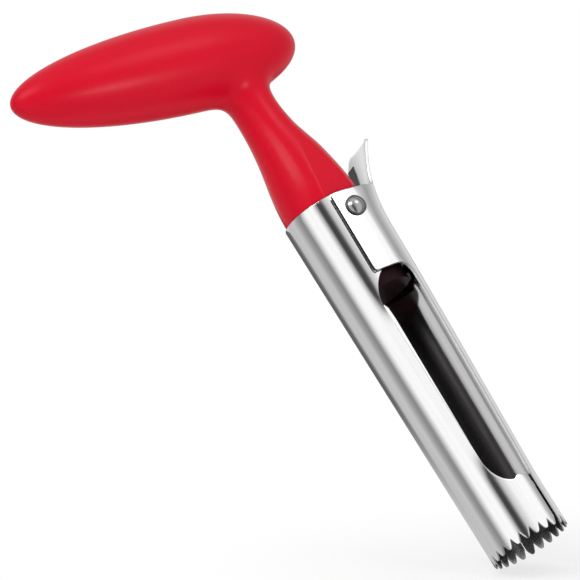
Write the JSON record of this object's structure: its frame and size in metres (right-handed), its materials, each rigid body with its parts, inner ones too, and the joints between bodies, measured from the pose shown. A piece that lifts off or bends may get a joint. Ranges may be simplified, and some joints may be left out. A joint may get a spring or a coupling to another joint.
{
  "type": "apple corer",
  "caption": "Hand apple corer: serrated steel coring tube split into a fixed blade and a sprung, hinged release blade with a thumb tab, on a red soft-touch neck and off-centre egg grip.",
  "frame": {"origin": "centre of the coring mouth on the plane of the tooth tips", "axes": "+Z along the coring tube towards the handle, +X towards the release blade and thumb tab, Y along the pivot rivet"},
  "size_m": [0.0894, 0.0286, 0.1788],
  "materials": {
    "soft_red": "satin",
    "rigid_red": "gloss",
    "polished_steel": "polished",
    "spring_steel": "dark",
    "rivet_steel": "polished"
  },
  "bodies": {
    "handle": {"grip_skin": "soft_red", "handle_core": "rigid_red", "fixed_blade": "polished_steel", "return_spring": "spring_steel", "rivet_barrel": "rivet_steel", "rivet_stud": "rivet_steel", "rivet_washers": "rivet_steel"},
    "release": {"release_blade": "polished_steel"}
  },
  "joints": [
    {"name": "release_hinge", "type": "hinge", "parent": "handle", "child": "release", "pos_m": [0.0023, 0, 0.104], "axis": [0, -1, 0], "range_deg": [0, 15], "stiffness_Nm_per_rad": 0.35, "springref_deg": -5.73, "deforming": ["return_spring"]}
  ]
}
